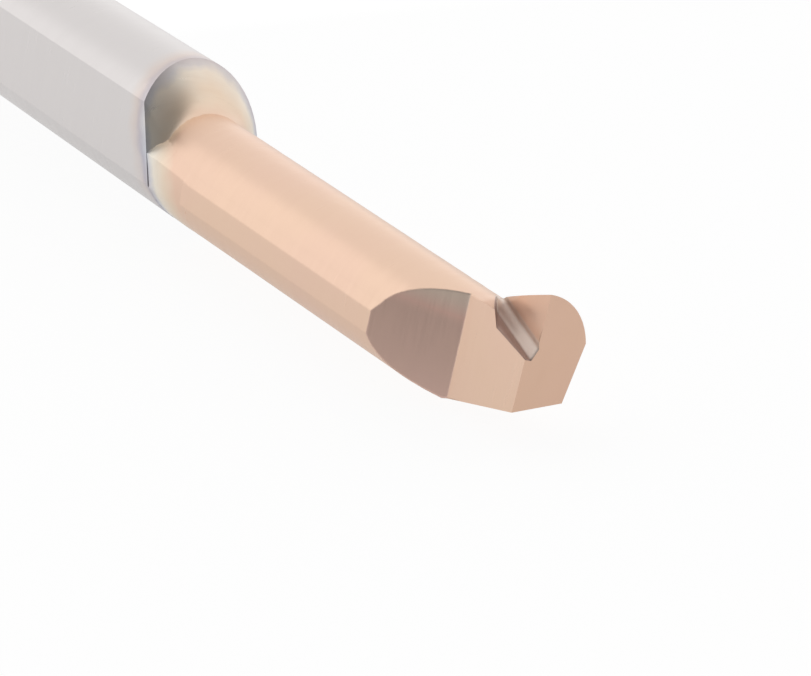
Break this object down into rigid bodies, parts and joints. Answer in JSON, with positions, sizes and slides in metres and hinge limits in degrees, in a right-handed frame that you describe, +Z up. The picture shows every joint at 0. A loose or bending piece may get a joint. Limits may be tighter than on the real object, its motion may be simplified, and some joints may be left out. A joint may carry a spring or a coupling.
{
  "type": "boring bar",
  "caption": "One-piece boring bar with a round shank and long clamping flat, a slender offset neck and a small ground head whose tip stands out to one side.",
  "frame": {"origin": "centre of the shank's rear face, on the shank axis", "axes": "+X along the shank towards the cutting head, +Z up as the bar lies at rest on its round back; the cutting tip points up, leaning 19 degrees towards +Y, and the clamping flat and rake face look towards -Y and a little up"},
  "size_m": [0.058, 0.0059, 0.006],
  "materials": {
    "carbide": "ground tungsten carbide: bare satin grey shank, thin copper-coloured coating on the neck and head"
  },
  "bodies": {
    "root": {"boring_bar": "carbide"}
  },
  "joints": []
}
